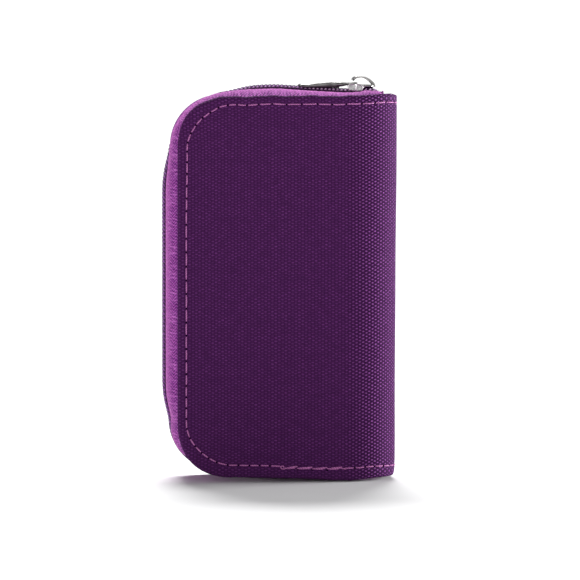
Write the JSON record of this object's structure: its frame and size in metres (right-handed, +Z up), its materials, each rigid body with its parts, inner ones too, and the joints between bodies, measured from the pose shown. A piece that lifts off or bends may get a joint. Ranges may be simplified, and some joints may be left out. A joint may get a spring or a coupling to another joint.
{
  "type": "memory card pouch",
  "caption": "Zippered book-style pocket pouch for memory cards, with padded woven covers, a wrap-round coil zip, hinged pocket leaves and a metal slider with a pull tab.",
  "frame": {"origin": "centre of the bounding box in plan, at the bottom edges of the covers and spine, which the closed pouch stands on", "axes": "+Z up along the spine, +X towards the spine, +Y from the front cover to the back cover"},
  "size_m": [0.0652, 0.0286, 0.1118],
  "materials": {
    "outer_fabric": "dark purple coarse plain-weave nylon",
    "stiffener": "plain polyethylene board",
    "lining": "fine dark taffeta",
    "pocket_cloth": "fine dark taffeta with a turned hem",
    "binding": "ribbed grosgrain tape",
    "zip_tape": "light magenta-purple fine weave",
    "zip_coil": "dark purple nylon coil",
    "zip_stop": "dark purple nylon",
    "slider_metal": "bright plated zinc"
  },
  "bodies": {
    "spine": {"spine_fabric": "outer_fabric", "spine_board": "stiffener", "spine_lining": "lining", "leaf_binding_strip": "binding", "zip_bottom_stop": "zip_stop"},
    "front_cover": {"front_cover_fabric": "outer_fabric", "front_cover_board": "stiffener", "front_cover_lining": "lining", "front_large_pocket_lower": "pocket_cloth", "front_large_pocket_upper": "pocket_cloth", "front_zip_tape": "zip_tape", "front_zip_coil": "zip_coil", "front_zip_top_stop": "zip_stop"},
    "back_cover": {"back_cover_fabric": "outer_fabric", "back_cover_board": "stiffener", "back_cover_lining": "lining", "back_large_pocket_lower": "pocket_cloth", "back_large_pocket_upper": "pocket_cloth", "back_zip_tape": "zip_tape", "back_zip_coil": "zip_coil", "back_zip_top_stop": "zip_stop"},
    "leaf_1": {"leaf_1_sheet": "lining", "leaf_1_edge_binding": "binding", "leaf_1_front_pocket_bottom": "pocket_cloth", "leaf_1_front_pocket_middle": "pocket_cloth", "leaf_1_front_pocket_top": "pocket_cloth", "leaf_1_rear_pocket_bottom": "pocket_cloth", "leaf_1_rear_pocket_middle": "pocket_cloth", "leaf_1_rear_pocket_top": "pocket_cloth"},
    "leaf_2": {"leaf_2_sheet": "lining", "leaf_2_edge_binding": "binding", "leaf_2_front_pocket_bottom": "pocket_cloth", "leaf_2_front_pocket_middle": "pocket_cloth", "leaf_2_front_pocket_top": "pocket_cloth", "leaf_2_rear_pocket_bottom": "pocket_cloth", "leaf_2_rear_pocket_middle": "pocket_cloth", "leaf_2_rear_pocket_top": "pocket_cloth"},
    "leaf_3": {"leaf_3_sheet": "lining", "leaf_3_edge_binding": "binding", "leaf_3_front_pocket_bottom": "pocket_cloth", "leaf_3_front_pocket_middle": "pocket_cloth", "leaf_3_front_pocket_top": "pocket_cloth", "leaf_3_rear_pocket_bottom": "pocket_cloth", "leaf_3_rear_pocket_middle": "pocket_cloth", "leaf_3_rear_pocket_top": "pocket_cloth"},
    "slider": {"zip_slider_body": "slider_metal"},
    "pull_tab": {"zip_pull_tab": "slider_metal"}
  },
  "joints": [
    {"name": "front_cover_hinge", "type": "hinge", "parent": "spine", "child": "front_cover", "pos_m": [0.0285, -0.01135, 0.0536], "axis": [0, 0, 1], "range_deg": [0, 90]},
    {"name": "back_cover_hinge", "type": "hinge", "parent": "spine", "child": "back_cover", "pos_m": [0.0285, 0.01135, 0.0536], "axis": [0, 0, -1], "range_deg": [0, 90]},
    {"name": "leaf_1_hinge", "type": "hinge", "parent": "spine", "child": "leaf_1", "pos_m": [0.0283, -0.00565, 0.0536], "axis": [0, 0, 1], "range_deg": [0, 60]},
    {"name": "leaf_2_hinge", "type": "hinge", "parent": "spine", "child": "leaf_2", "pos_m": [0.0283, 0, 0.0536], "axis": [0, 0, 1], "range_deg": [0, 30]},
    {"name": "leaf_3_hinge", "type": "hinge", "parent": "spine", "child": "leaf_3", "pos_m": [0.0283, 0.00565, 0.0536], "axis": [0, 0, -1], "range_deg": [0, 45]},
    {"name": "zip_slider_slide", "type": "slide", "parent": "back_cover", "child": "slider", "axis": [-0.9979, 0, 0.0645], "range_m": [0, 0.025]},
    {"name": "pull_tab_hinge", "type": "hinge", "parent": "slider", "child": "pull_tab", "pos_m": [0.02196, 0, 0.11007], "axis": [0, 1, 0], "range_deg": [0, 170]}
  ],
  "couplings": [
    {"joint": "leaf_1_hinge", "follows": "front_cover_hinge", "ratio": 0.65},
    {"joint": "leaf_2_hinge", "follows": "front_cover_hinge", "ratio": 0.3},
    {"joint": "leaf_3_hinge", "follows": "back_cover_hinge", "ratio": 0.45}
  ]
}
